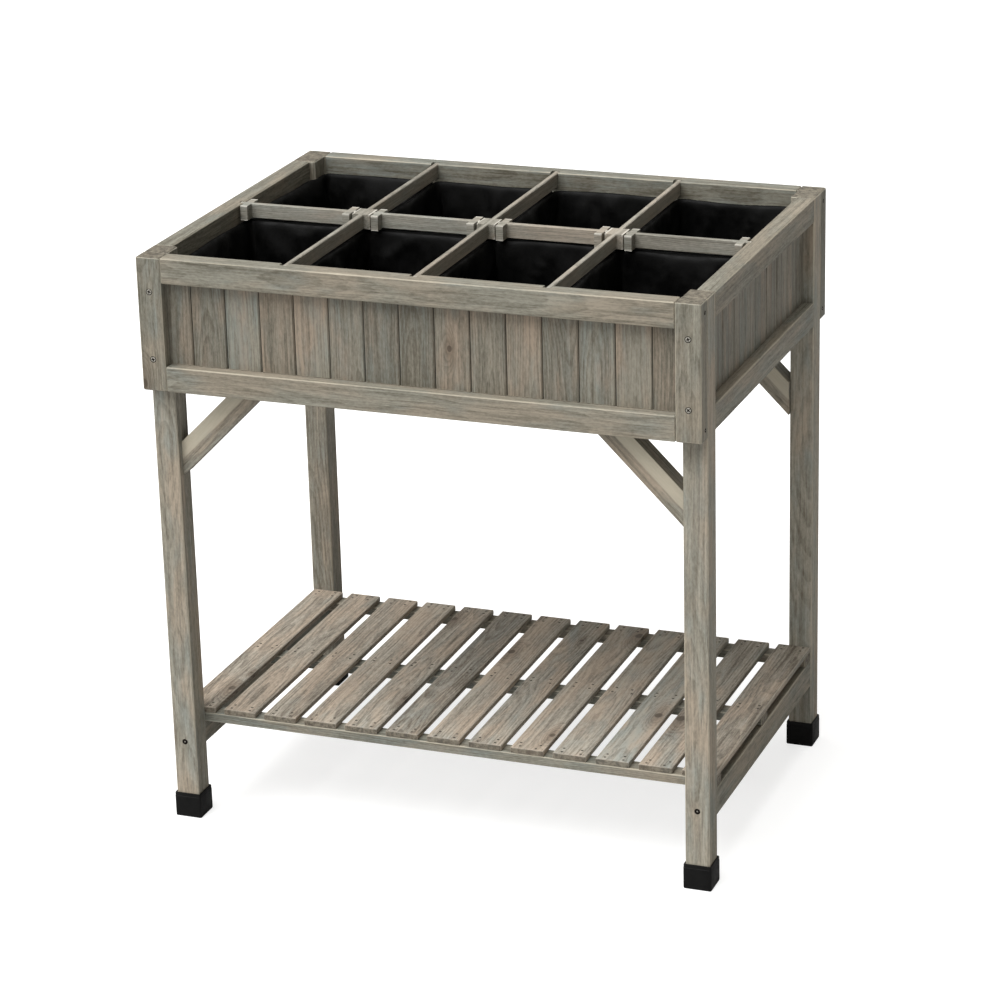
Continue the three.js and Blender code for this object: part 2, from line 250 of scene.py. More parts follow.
def board_space() -> bpy.types.NodeTree:
    """Turns a place in the planter into a place in one board: along, across, through the grain."""
    fx = Effect(
        "board_space",
        {
            "Centre": Kind.VECTOR,
            "Along": Kind.VECTOR,
            "Across": Kind.VECTOR,
            "Through": Kind.VECTOR,
            "Pitch": Kind.VALUE,
            "First": Kind.VALUE,
            "Seed": Kind.VALUE,
        },
        {"Place": Kind.VECTOR, "Board": Kind.VALUE},
    )
    here = fx.put("ShaderNodeTexCoord").outputs["Object"]
    offset = fx.vector("SUBTRACT", here, fx.given["Centre"])
    along = fx.vector("DOT_PRODUCT", offset, fx.given["Along"])
    across = fx.vector("DOT_PRODUCT", offset, fx.given["Across"])
    through = fx.vector("DOT_PRODUCT", offset, fx.given["Through"])
    steps = fx.calc("DIVIDE", fx.calc("SUBTRACT", across, fx.given["First"]), fx.given["Pitch"])
    number = fx.calc("FLOOR", steps)
    within = fx.calc("SUBTRACT", fx.calc("SUBTRACT", steps, number), 0.5)
    local = fx.calc("MULTIPLY", within, fx.given["Pitch"])
    board = fx.calc("MULTIPLY_ADD", number, 1.37, fx.given["Seed"])
    return fx.give(Place=fx.join(along, local, through), Board=board)


def growth_rings() -> bpy.types.NodeTree:
    """Rings round a pith line that wanders beside the board, bent round its knots."""
    fx = Effect(
        "growth_rings",
        {
            "Place": Kind.VECTOR,
            "Board": Kind.VALUE,
            "Spacing": Kind.VALUE,
            "Knots": Kind.VALUE,
            "Pith": Kind.VALUE,
        },
        {"Latewood": Kind.VALUE, "Knot": Kind.VALUE, "Halo": Kind.VALUE},
    )
    along, across, through = fx.split(fx.given["Place"])
    chance = fx.put("ShaderNodeTexWhiteNoise", {"W": fx.given["Board"]}, noise_dimensions="1D")
    one, two, three = fx.split(chance.outputs["Color"])

    # Knots: one candidate to a cell, of a size and presence drawn for that cell.
    cell_long, cell_wide = 0.150, 0.052
    slant = fx.calc("MULTIPLY_ADD", through, 0.5, across)
    cell_u = fx.calc("MULTIPLY_ADD", one, 37.0, fx.calc("DIVIDE", along, cell_long))
    cell_v = fx.calc("MULTIPLY_ADD", two, 53.0, fx.calc("DIVIDE", slant, cell_wide))
    cells = fx.join(cell_u, cell_v, 0.0)
    branch = fx.put("ShaderNodeTexVoronoi", {"Vector": cells, "Scale": 1.0}, voronoi_dimensions="2D")
    apart = fx.vector("SUBTRACT", cells, branch.outputs["Position"])
    size, present, _ = fx.split(branch.outputs["Color"])
    true_apart = fx.vector("MULTIPLY", apart, (cell_long * 0.75, cell_wide, 0.0))
    long_apart = fx.vector("MULTIPLY", apart, (cell_long * 0.32, cell_wide, 0.0))
    radius = fx.calc("MULTIPLY_ADD", size, 0.0046, 0.0022)
    shown = fx.calc("LESS_THAN", present, fx.given["Knots"])
    knot_far = fx.calc("DIVIDE", fx.vector("LENGTH", true_apart), radius)
    knot = fx.calc("MULTIPLY", fx.ramp(knot_far, 0.75, 1.1, 1.0, 0.0), shown)
    eye_far = fx.calc("DIVIDE", fx.vector("LENGTH", long_apart), radius)
    halo = fx.calc("MULTIPLY", fx.ramp(eye_far, 0.4, 3.6, 1.0, 0.0), shown)
    bend = fx.calc("MULTIPLY", fx.calc("MULTIPLY", halo, radius), 2.6)

    # The pith wanders, so the rings draw arches on a flat-sawn face.
    stretch = fx.join(fx.calc("MULTIPLY_ADD", along, 3.4, fx.calc("MULTIPLY", three, 91.0)), one, two)
    wander = fx.put("ShaderNodeTexNoise", {"Vector": stretch, "Scale": 1.0, "Detail": 1.0})
    sway_v, sway_w, _ = fx.split(wander.outputs["Color"])
    pith_v = fx.calc("MULTIPLY_ADD", fx.calc("SUBTRACT", two, 0.5), 0.036, across)
    pith_v = fx.calc("MULTIPLY_ADD", fx.calc("SUBTRACT", sway_v, 0.5), 0.030, pith_v)
    pith_w = fx.calc("ADD", through, fx.calc("MULTIPLY", fx.given["Pith"], fx.calc("ADD", three, 0.5)))
    pith_w = fx.calc("MULTIPLY_ADD", fx.calc("SUBTRACT", sway_w, 0.5), 0.034, pith_w)
    ring = fx.vector("LENGTH", fx.join(pith_v, pith_w, 0.0))
    ripple = fx.noise(fx.vector("MULTIPLY", fx.given["Place"], (9.0, 90.0, 90.0)), 1.0, 3.0)
    ring = fx.calc("MULTIPLY_ADD", fx.calc("SUBTRACT", ripple, 0.5), 0.0026, ring)
    ring = fx.calc("ADD", ring, bend)
    turn = fx.calc("FRACT", fx.calc("DIVIDE", ring, fx.given["Spacing"]))
    rise = fx.ramp(turn, 0.30, 0.90)
    fall = fx.ramp(turn, 0.92, 1.0, 1.0, 0.0)
    return fx.give(Latewood=fx.calc("MULTIPLY", rise, fall), Knot=knot, Halo=halo)


def fibre() -> bpy.types.NodeTree:
    """Fine fibres, broad streaks and soft patches, drawn out along the grain."""
    fx = Effect(
        "fibre",
        {"Place": Kind.VECTOR, "Board": Kind.VALUE},
        {name: Kind.VALUE for name in ("Fine", "Speck", "Streak", "Patch", "Tint")},
    )
    shift = fx.put("ShaderNodeTexWhiteNoise", {"W": fx.given["Board"]}, noise_dimensions="1D")
    start = fx.vector("SCALE", shift.outputs["Color"], 40.0)

    def drawn(size: Triple, detail: float, rough: float) -> bpy.types.NodeSocket:
        """Noise with its own repeats a metre along, across and through the grain."""
        scaled = fx.vector("MULTIPLY", fx.given["Place"], size)
        return fx.noise(fx.vector("ADD", scaled, start), 1.0, detail, rough)

    return fx.give(
        Fine=drawn((18.0, 460.0, 460.0), 4.0, 0.75),
        Speck=drawn((130.0, 380.0, 380.0), 3.0, 0.7),
        Streak=drawn((3.5, 170.0, 170.0), 3.0, 0.65),
        Patch=drawn((8.0, 26.0, 26.0), 3.0, 0.55),
        Tint=drawn((7.0, 38.0, 38.0), 3.0, 0.6),
    )


def edge_wear_and_highlight() -> bpy.types.NodeTree:
    """Where a board's edges are worn pale, partly a painted highlight, which faces are its sawn ends, and painted
    shade along its long edges.
    """
    fx = Effect(
        "edge_wear_and_highlight",
        {"Place": Kind.VECTOR, "Half size": Kind.VECTOR, "Width": Kind.VALUE, "Rub": Kind.VALUE},
        {"Wear": Kind.VALUE, "End": Kind.VALUE, "Joint": Kind.VALUE},
    )
    inside = fx.vector("SUBTRACT", fx.given["Half size"], fx.vector("ABSOLUTE", fx.given["Place"]))
    a, b, c = fx.split(inside)
    # The middle one of the three depths is the distance to the nearest edge.
    least = fx.calc("MINIMUM", a, b)
    most = fx.calc("MAXIMUM", a, b)
    edge = fx.calc("MAXIMUM", least, fx.calc("MINIMUM", most, c))
    # The pale band along every edge is partly worn timber and partly a painted highlight.
    reach = fx.calc("MULTIPLY", fx.given["Width"], fx.ramp(fx.given["Rub"], 0.28, 0.72, 0.25, 1.5))
    wear_and_highlight = fx.ramp(fx.calc("DIVIDE", edge, reach), 0.0, 1.0, 1.0, 0.0)
    # Painted shade along the board's long edges, for the shadow in the grooves between boards.
    gap_shade = fx.ramp(b, 0.0002, 0.0009, 1.0, 0.0)
    return fx.give(Wear=wear_and_highlight, End=fx.ramp(a, 0.0004, 0.0010, 1.0, 0.0), Joint=gap_shade)


def washed_timber(rings: bpy.types.NodeTree, fibres: bpy.types.NodeTree, wear_and_highlight: bpy.types.NodeTree) -> bpy.types.NodeTree:
    """Softwood under a grey wash, from its rings, fibres and knots, with edges worn pale and partly a painted
    highlight, and painted shade in the grooves between boards.

    Args:
        rings: The growth ring group.
        fibres: The fibre group.
        wear_and_highlight: The group of worn edges with their painted highlight, sawn ends and painted groove shade.

    Returns:
        The group's tree.
    """
    fx = Effect(
        "washed_timber",
        {
            "Place": Kind.VECTOR,
            "Board": Kind.VALUE,
            "Half size": Kind.VECTOR,
            "Pale": Kind.COLOUR,
            "Deep": Kind.COLOUR,
            "Cool": Kind.COLOUR,
            "Warm": Kind.COLOUR,
            "WornAndLitTone": Kind.COLOUR,
            "Spacing": Kind.VALUE,
            "Contrast": Kind.VALUE,
            "Variety": Kind.VALUE,
            "Knots": Kind.VALUE,
            "Wear": Kind.VALUE,
            "Wear width": Kind.VALUE,
            "Pith": Kind.VALUE,
            "Joint": Kind.VALUE,
        },
        {"Colour": Kind.COLOUR, "Roughness": Kind.VALUE, "Height": Kind.VALUE},
    )
    given = fx.given
    lines = fx.use(rings, {k: given[k] for k in ("Place", "Board", "Spacing", "Knots", "Pith")})
    hair = fx.use(fibres, {"Place": given["Place"], "Board": given["Board"]})
    rough_edge = fx.calc("MULTIPLY_ADD", hair["Fine"], 0.6, fx.calc("MULTIPLY", hair["Patch"], 0.4))
    feeds = {"Place": given["Place"], "Half size": given["Half size"], "Width": given["Wear width"], "Rub": rough_edge}
    worn_lit_and_shaded = fx.use(wear_and_highlight, feeds)
    own = fx.put("ShaderNodeTexWhiteNoise", {"W": fx.calc("ADD", given["Board"], 7.7)}, noise_dimensions="1D")
    tone, hue, _ = fx.split(own.outputs["Color"])

    depth = fx.calc("MULTIPLY_ADD", fx.calc("SUBTRACT", lines["Latewood"], 0.3), given["Contrast"], 0.42)
    depth = fx.calc("MULTIPLY_ADD", fx.calc("SUBTRACT", hair["Streak"], 0.5), 1.25, depth)
    depth = fx.calc("MULTIPLY_ADD", fx.calc("SUBTRACT", hair["Fine"], 0.5), 1.5, depth)
    depth = fx.calc("MULTIPLY_ADD", fx.calc("SUBTRACT", hair["Speck"], 0.5), 1.2, depth)
    depth = fx.calc("MULTIPLY_ADD", fx.calc("SUBTRACT", tone, 0.5), given["Variety"], depth)
    depth = fx.calc("MULTIPLY_ADD", fx.calc("SUBTRACT", hair["Patch"], 0.5), -0.7, depth)
    depth = fx.calc("MULTIPLY_ADD", lines["Halo"], 0.22, depth)
    cool = fx.ramp(fx.calc("MULTIPLY_ADD", hue, 0.12, hair["Tint"]), 0.44, 0.68)
    warm = fx.ramp(fx.calc("MULTIPLY_ADD", hue, -0.12, hair["Patch"]), 0.34, 0.60)
    washed = fx.blend(warm, fx.blend(cool, given["Pale"], given["Cool"]), given["Warm"])
    colour = fx.blend(depth, washed, given["Deep"])
    colour = fx.blend(fx.calc("MULTIPLY", lines["Halo"], 0.45), colour, (0.150, 0.108, 0.076))
    colour = fx.blend(fx.calc("MULTIPLY", lines["Knot"], 0.70), colour, (0.052, 0.038, 0.027))
    # Pale edges: partly worn timber, partly a painted highlight.
    colour = fx.blend(fx.calc("MULTIPLY", worn_lit_and_shaded["Wear"], given["Wear"]), colour, given["WornAndLitTone"])
    sawn = fx.blend(fx.ramp(hair["Streak"], 0.35, 0.65), (0.050, 0.041, 0.030), (0.180, 0.158, 0.120))
    colour = fx.blend(fx.calc("MULTIPLY", worn_lit_and_shaded["End"], 0.85), colour, sawn)
    # Near-black painted shade in the grooves between boards.
    colour = fx.blend(fx.calc("MULTIPLY", worn_lit_and_shaded["Joint"], given["Joint"]), colour, (0.012, 0.010, 0.008))

    height = fx.calc("MULTIPLY_ADD", hair["Fine"], 0.55, fx.calc("MULTIPLY", lines["Latewood"], 0.30))
    height = fx.calc("MULTIPLY_ADD", hair["Streak"], 0.25, height)
    height = fx.calc("MULTIPLY_ADD", lines["Knot"], -0.35, height)
    dull = fx.calc("MULTIPLY_ADD", hair["Fine"], 0.22, 0.60)
    dull = fx.calc("MULTIPLY_ADD", lines["Latewood"], -0.10, dull)
    return fx.give(Colour=colour, Roughness=dull, Height=height)


def fine_grain() -> bpy.types.NodeTree:
    """A fine all-over texture with a softer mottle, for plastic, thread and metal."""
    fx = Effect(
        "fine_grain",
        {"Fineness": Kind.VALUE, "Mottle size": Kind.VALUE},
        {"Grain": Kind.VALUE, "Mottle": Kind.VALUE},
    )
    here = fx.put("ShaderNodeTexCoord").outputs["Object"]
    fine = fx.noise(fx.vector("SCALE", here, fx.given["Fineness"]), 1.0, 3.0, 0.6)
    soft = fx.noise(fx.vector("SCALE", here, fx.given["Mottle size"]), 1.0, 3.0, 0.55)
    return fx.give(Grain=fine, Mottle=soft)


class Effects:
    """The shader groups, each built once."""

    def __init__(self) -> None:
        """Builds every group."""
        self.space = board_space()
        self.timber = washed_timber(growth_rings(), fibre(), edge_wear_and_highlight())
        self.grain = fine_grain()


# ---- Finishes ----


def new_material(name: str) -> tuple[bpy.types.Material, Graph, bpy.types.Node]:
    """Starts a material with one Principled shader.

    Args:
        name: The material's name.

    Returns:
        The material, its graph and its shader.
    """
    material = bpy.data.materials.new(name)
    material.use_nodes = True
    material.node_tree.nodes.clear()
    graph = Graph(material.node_tree)
    shader = graph.put("ShaderNodeBsdfPrincipled")
    graph.put("ShaderNodeOutputMaterial", {"Surface": shader.outputs[0]})
    return material, graph, shader


@dataclass(frozen=True)
class GrainSpace:
    """One board's own axes: along, across and through the grain."""

    centre: Vector
    along: Vector
    across: Vector
    through: Vector
    half: Vector
    pitch: float = 1.0
    first: float = -0.5

    @classmethod
    def of_node(cls, node: str, axis: Axis, half: Triple | None = None) -> GrainSpace:
        """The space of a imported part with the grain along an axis.

        Args:
            node: The part's node.
            axis: Which way its grain runs.
            half: Half sizes along, across and through, if the box doesn't give them.

        Returns:
            The space.
        """
        low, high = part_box(node)
        along = Vector(axis.value)
        middle = (high + low) / 2
        size = (high - low) / 2
        others = [Vector(v) for v in ((1, 0, 0), (0, 1, 0), (0, 0, 1)) if abs(Vector(v).dot(along)) < 0.5]
        if len(others) == 2:
            across, through = sorted(others, key=lambda v: -abs(v.dot(size)))
            measured = Vector((abs(along.dot(size)), abs(across.dot(size)), abs(through.dot(size))))
            return cls(middle, along, across, through, measured)
        through = Vector((0, 1, 0))
        return cls(middle, along, along.cross(through), through, Vector(half))

    def in_row(self, pitch: float, half_width: float) -> GrainSpace:
        """The space of equal boards side by side in one part.

        Args:
            pitch: The width of one board.
            half_width: Half the width of a board.

        Returns:
            The space, which repeats board by board.
        """
        half = Vector((self.half.x, half_width, self.half.z))
        return GrainSpace(self.centre, self.along, self.across, self.through, half, pitch, pitch / 2)


@dataclass(frozen=True)
class TimberFinish:
    """Grey-washed softwood, with the tones of one kind of stock."""

    name: str
    pale: Colour
    deep: Colour
    cool: Colour
    warm: Colour
    worn_and_lit_tone: Colour
    spacing: float
    contrast: float
    variety: float
    knots: float
    wear_and_highlight: float
    wear_and_highlight_width: float
    pith: float
    # How strongly shade is painted into the grooves between boards.
    gap_shade: float = 0.0

    def material(self, effects: Effects, piece: str, space: GrainSpace, seed: float) -> bpy.types.Material:
        """The finish on one piece.

        Args:
            effects: The shader groups.
            piece: The piece's name.
            space: The piece's grain.
            seed: What makes its figure its own.

        Returns:
            The material.
        """
        material, graph, shader = new_material(f"{self.name}_{piece}")
        feeds = {
            "Centre": tuple(space.centre),
            "Along": tuple(space.along),
            "Across": tuple(space.across),
            "Through": tuple(space.through),
            "Pitch": space.pitch,
            "First": space.first,
            "Seed": seed,
        }
        board = graph.use(effects.space, feeds)
        feeds = {
            "Place": board["Place"],
            "Board": board["Board"],
            "Half size": tuple(space.half),
            "Pale": self.pale,
            "Deep": self.deep,
            "Cool": self.cool,
            "Warm": self.warm,
            "WornAndLitTone": self.worn_and_lit_tone,
            "Spacing": self.spacing,
            "Contrast": self.contrast,
            "Variety": self.variety,
            "Knots": self.knots,
            "Wear": self.wear_and_highlight,
            "Wear width": self.wear_and_highlight_width,
            "Pith": self.pith,
            "Joint": self.gap_shade,
        }
        timber = graph.use(effects.timber, feeds)
        bump = graph.put("ShaderNodeBump", {"Strength": 0.55, "Distance": 0.0005, "Height": timber["Height"]})
        graph.feed(shader.inputs["Base Color"], timber["Colour"])
        graph.feed(shader.inputs["Roughness"], timber["Roughness"])
        graph.feed(shader.inputs["Normal"], bump.outputs[0])
        shader.inputs["Specular IOR Level"].default_value = 0.28
        return material


@dataclass(frozen=True)
class GrainyFinish:
    """A plain dark or metal surface with a fine texture."""

    name: str
    dark: Colour
    light: Colour
    roughness: tuple[float, float]
    fineness: float
    mottle_size: float
    bump: float
    metallic: float = 0.0
    specular: float = 0.5
    sheen: float = 0.0

    def material(self, effects: Effects) -> bpy.types.Material:
        """The finish as a material.

        Args:
            effects: The shader groups.

        Returns:
            The material.
        """
        material, graph, shader = new_material(self.name)
        grain = graph.use(effects.grain, {"Fineness": self.fineness, "Mottle size": self.mottle_size})
        both = graph.calc("MULTIPLY", graph.calc("ADD", grain["Grain"], grain["Mottle"]), 0.5)
        share = graph.ramp(both, 0.35, 0.65)
        low, high = self.roughness
        graph.feed(shader.inputs["Base Color"], graph.blend(share, self.dark, self.light))
        graph.feed(shader.inputs["Roughness"], graph.ramp(grain["Mottle"], 0.3, 0.7, low, high))
        bump = graph.put("ShaderNodeBump", {"Strength": 0.5, "Distance": self.bump, "Height": grain["Grain"]})
        graph.feed(shader.inputs["Normal"], bump.outputs[0])
        shader.inputs["Metallic"].default_value = self.metallic
        shader.inputs["Specular IOR Level"].default_value = self.specular
        shader.inputs["Sheen Weight"].default_value = self.sheen
        shader.inputs["Sheen Roughness"].default_value = 0.5
        return material


FRAME_TIMBER = TimberFinish(
    name="frame_timber",
    pale=(0.264, 0.256, 0.212),
    deep=(0.092, 0.083, 0.061),
    cool=(0.208, 0.226, 0.206),
    warm=(0.272, 0.238, 0.186),
    worn_and_lit_tone=(0.470, 0.430, 0.340),
    spacing=0.0026,
    contrast=0.26,
    variety=0.30,
    knots=0.05,
    wear_and_highlight=0.72,
    wear_and_highlight_width=0.0022,
    pith=0.070,
)
LEG_TIMBER = replace(
    FRAME_TIMBER,
    pale=(0.332, 0.310, 0.254),
    deep=(0.122, 0.108, 0.082),
    cool=(0.268, 0.280, 0.250),
    warm=(0.348, 0.292, 0.226),
)
INFILL_TIMBER = TimberFinish(
    name="infill_timber",
    pale=(0.250, 0.234, 0.190),
    deep=(0.098, 0.087, 0.065),
    cool=(0.196, 0.213, 0.192),
    warm=(0.280, 0.226, 0.172),
    worn_and_lit_tone=(0.360, 0.325, 0.255),
    spacing=0.0028,
    contrast=0.30,
    variety=0.50,
    knots=0.16,
    wear_and_highlight=0.45,
    wear_and_highlight_width=0.0022,
    pith=0.028,
    # The infill boards get painted shade in the grooves between them.
    gap_shade=0.80,
)
SHELF_TIMBER = TimberFinish(
    name="shelf_timber",
    pale=(0.425, 0.388, 0.324),
    deep=(0.115, 0.095, 0.072),
    cool=(0.325, 0.338, 0.305),
    warm=(0.435, 0.358, 0.280),
    worn_and_lit_tone=(0.520, 0.480, 0.410),
    spacing=0.0030,
    contrast=0.30,
    variety=0.50,
    knots=0.34,
    wear_and_highlight=0.55,
    wear_and_highlight_width=0.0020,
    pith=0.030,
)
DIVIDER_TIMBER = TimberFinish(
    name="divider_timber",
    pale=(0.330, 0.315, 0.270),
    deep=(0.140, 0.130, 0.105),
    cool=(0.290, 0.300, 0.270),
    warm=(0.335, 0.290, 0.235),
    # This near-white edge tone is partly a painted highlight on the strips' tops and edges.
    worn_and_lit_tone=(0.660, 0.635, 0.570),
    spacing=0.0024,
    contrast=0.30,
    variety=0.25,
    knots=0.04,
    wear_and_highlight=0.80,
    wear_and_highlight_width=0.0034,
    pith=0.060,
)
CAP_PLASTIC = GrainyFinish(
    name="cap_plastic",
    dark=(0.0024, 0.0024, 0.0024),
    light=(0.0070, 0.0070, 0.0069),
    roughness=(0.40, 0.56),
    fineness=2400.0,
    mottle_size=60.0,
    bump=0.00012,
    specular=0.115,
)
LINER_FABRIC = GrainyFinish(
    name="liner_fabric",
    dark=(0.0010, 0.0010, 0.0010),
    light=(0.0026, 0.0026, 0.0025),
    roughness=(0.45, 0.62),
    fineness=1300.0,
    mottle_size=90.0,
    bump=0.0003,
    specular=0.085,
)
THREAD = GrainyFinish(
    name="liner_thread",
    dark=(0.020, 0.020, 0.021),
    light=(0.060, 0.060, 0.062),
    roughness=(0.55, 0.75),
    fineness=2600.0,
    mottle_size=300.0,
    bump=0.0001,
)
SCREW_STEEL = GrainyFinish(
    name="screw_steel",
    dark=(0.240, 0.228, 0.200),
    light=(0.470, 0.450, 0.400),
    roughness=(0.32, 0.50),
    fineness=1500.0,
    mottle_size=400.0,
    bump=0.00006,
    metallic=0.75,
)
NAIL_STEEL = replace(SCREW_STEEL, name="nail_steel", dark=(0.030, 0.021, 0.016), light=(0.110, 0.082, 0.062))
# Painted shade for the countersinks and cross recesses of the screws and bolts, and round the sunk nail heads.
BORE_SHADE = GrainyFinish(
    name="bore_shade",
    dark=(0.004, 0.003, 0.003),
    light=(0.014, 0.011, 0.009),
    roughness=(0.8, 0.95),
    fineness=900.0,
    mottle_size=300.0,
    bump=0.0002,
    specular=0.08,
)


# ---- Meshes ----


def piece_from(name: str, points: list[Vector], faces: list[tuple[int, ...]]) -> bpy.types.Object:
    """Makes an object from points and faces, with its normals facing out.

    Args:
        name: The object's name.
        points: Its vertices, in the planter's frame.
        faces: Its faces as vertex numbers.

    Returns:
        The object, in the scene.
    """
    mesh = bpy.data.meshes.new(name)
    mesh.from_pydata([tuple(p) for p in points], [], faces)
    mesh.validate()
    piece = bpy.data.objects.new(name, mesh)
    bpy.context.scene.collection.objects.link(piece)
    return piece


def shade_smooth(piece: bpy.types.Object, angle: float = math.radians(35)) -> None:
    """Smooths a piece's shading, except across edges sharper than an angle."""
    bm = bmesh.new()
    bm.from_mesh(piece.data)
    for face in bm.faces:
        face.smooth = True
    for edge in bm.edges:
        edge.smooth = len(edge.link_faces) == 2 and edge.calc_face_angle(0.0) < angle
    bm.to_mesh(piece.data)
    bm.free()


def rounded_square(half_x: float, half_y: float, radius: float, steps: int = 4) -> list[tuple[float, float]]:
    """The outline of a rectangle with rounded corners.

    Args:
        half_x: Half its width.
        half_y: Half its depth.
        radius: Its corner radius.
        steps: Segments to a corner.

    Returns:
        Points counterclockwise.
    """
    corners = ((1, 1, 0), (-1, 1, 90), (-1, -1, 180), (1, -1, 270))
    outline = []
    for sx, sy, start in corners:
        for step in range(steps + 1):
            turn = math.radians(start + 90 * step / steps)
            x = sx * (half_x - radius) + radius * math.cos(turn)
            y = sy * (half_y - radius) + radius * math.sin(turn)
            outline.append((x, y))
    return outline


def lofted(rings: list[list[Vector]], closed_start: bool, closed_end: bool) -> tuple[list[Vector], list[tuple[int, ...]]]:
    """Joins rings of equal length into a skin.

    Args:
        rings: Closed rings of points.
        closed_start: Whether the first ring gets a face.
        closed_end: Whether the last ring gets a face.

    Returns:
        The points and the faces.
    """
    count = len(rings[0])
    points = [p for ring in rings for p in ring]
    faces: list[tuple[int, ...]] = []
    for level in range(len(rings) - 1):
        base = level * count
        for i in range(count):
            j = (i + 1) % count
            faces.append((base + i, base + j, base + count + j, base + count + i))
    if closed_start:
        faces.append(tuple(reversed(range(count))))
    if closed_end:
        last = (len(rings) - 1) * count
        faces.append(tuple(last + i for i in range(count)))
    return points, faces


@dataclass
class Skin:
    """Points and faces of several loose shapes, gathered for one piece."""

    points: list[Vector] = field(default_factory=list)
    faces: list[tuple[int, ...]] = field(default_factory=list)

    def add(self, points: Iterable[Vector], faces: Iterable[tuple[int, ...]], place: Matrix) -> None:
        """Adds a shape.

        Args:
            points: Its points in its own frame.
            faces: Its faces.
            place: Where it goes.
        """
        start = len(self.points)
        self.points += [place @ p for p in points]
        self.faces += [tuple(start + i for i in face) for face in faces]


def facing(point: Triple, outward: Triple, spin: float = 0.0) -> Matrix:
    """A frame at a point with its Z axis along a direction.

    Args:
        point: The frame's origin.
        outward: Where its Z axis points.
        spin: Turn about that axis.

    Returns:
        The frame as a matrix.
    """
    turn = Vector(outward).to_track_quat("Z", "Y").to_matrix().to_4x4()
    return Matrix.Translation(point) @ turn @ Euler((0, 0, spin)).to_matrix().to_4x4()


# ---- Sub-assemblies ----


@dataclass
class Assembly:
    """A group of pieces that is dressed or made together."""

    effects: Effects
    reported: list[str] = field(default_factory=list)

    def dress(self, node: str, finish: TimberFinish, space: GrainSpace) -> None:
        """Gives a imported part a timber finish.

        Args:
            node: The part's node.
            finish: Its finish.
            space: Its grain.
        """
        seed = random.Random(node).uniform(0.0, 90.0)
        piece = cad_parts[node]
        material = finish.material(self.effects, node, space, seed)
        piece.data.materials.clear()
        piece.data.materials.append(material)
        self.report(node)

    def finish_piece(self, piece: bpy.types.Object, material: bpy.types.Material, slot: str, body: str) -> None:
        """Gives a new piece its material and body.

        Args:
            piece: The piece.
            material: Its material.
            slot: The name of its finish's slot; not used.
            body: The body that it moves with.
        """
        piece.data.materials.append(material)
        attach(piece, body)
        self.report(piece.name)

    def report(self, name: str) -> None:
        """Notes and logs a finished piece."""
        self.reported.append(name)
        LOG.info("%s: %s", type(self).__name__, name)


@dataclass
class Timbers(Assembly):
    """Legs, walls, floor, braces and shelf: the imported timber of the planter."""

    board_pitch: float = 0.048
    brace_half: Triple = (1.0, 0.0165, 0.0140)

    def build(self) -> None:
        """Dresses every timber part of the fixed body."""
        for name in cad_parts:
            if name.startswith("leg_") or "_stile_" in name:
                finish = LEG_TIMBER if name.startswith("leg_") else FRAME_TIMBER
                self.dress(name, finish, GrainSpace.of_node(name, Axis.Z))
            elif name.endswith("_boards"):
                space = GrainSpace.of_node(name, Axis.Z)
                row = space.in_row(self.board_pitch, self.board_pitch / 2)
                self.dress(name, INFILL_TIMBER, row)
            elif name.startswith("brace_"):
                axis = Axis.RISING if name.endswith("left") else Axis.FALLING
                self.dress(name, LEG_TIMBER, GrainSpace.of_node(name, axis, self.brace_half))
            elif name.startswith("floor_"):
                axis = Axis.Y if "board" in name else Axis.X
                self.dress(name, INFILL_TIMBER, GrainSpace.of_node(name, axis))
            elif name.startswith("shelf_"):
                axis = Axis.X if "batten" in name else Axis.Y
                finish = SHELF_TIMBER if "slat" in name else FRAME_TIMBER
                self.dress(name, finish, GrainSpace.of_node(name, axis))
            elif name.endswith("_rail"):
                axis = Axis.X if name.startswith(("front", "back")) else Axis.Y
                self.dress(name, FRAME_TIMBER, GrainSpace.of_node(name, axis))


@dataclass
class DividerGrid(Assembly):
    """The strips that lift out of the rim."""

    def build(self) -> None:
        """Dresses the cross strips and the long strips."""
        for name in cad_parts:
            if "divider" in name:
                axis = Axis.Y if name.startswith("cross") else Axis.X
                self.dress(name, DIVIDER_TIMBER, GrainSpace.of_node(name, axis))


@dataclass
class FootCaps(Assembly):
    """The moulded caps on the feet."""

    wall: float = 0.0025
    floor: float = 0.003
    radius: float = 0.0026

    def build(self) -> None:
        """Models a cap in the place of each packed one."""
        material = CAP_PLASTIC.material(self.effects)
        for node in sorted(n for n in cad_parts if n.startswith("foot_cap_")):
            low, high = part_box(node)
            half = (high.x - low.x) / 2
            centre = Vector(((low.x + high.x) / 2, (low.y + high.y) / 2, 0.0))
            tall = high.z - low.z
            profile = (
                (half - 0.0040, 0.0006),
                (half - 0.0036, 0.0000),
                (half - 0.0014, 0.0000),
                (half - 0.0005, 0.0004),
                (half - 0.0001, 0.0014),
                (half, 0.0030),
                (half, tall - 0.0052),
                (half - 0.0003, tall - 0.0048),
                (half - 0.0003, tall - 0.0010),
                (half - 0.0007, tall - 0.0002),
                (half - 0.0012, tall),
                (half - self.wall + 0.0006, tall),
                (half - self.wall, tall - 0.0005),
                (half - self.wall, self.floor),
            )
            rings = []
            for reach, z in profile:
                corner = max(self.radius - (half - reach), 0.0004)
                outline = rounded_square(reach, reach, corner)
                rings.append([centre + Vector((x, y, z)) for x, y in outline])
            points, faces = lofted(rings, True, True)
            cap = piece_from(f"moulded_{node}", points, faces)
            shade_smooth(cap)
            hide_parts(node)
            self.finish_piece(cap, material, "cap_plastic", PLANTER_BODY)


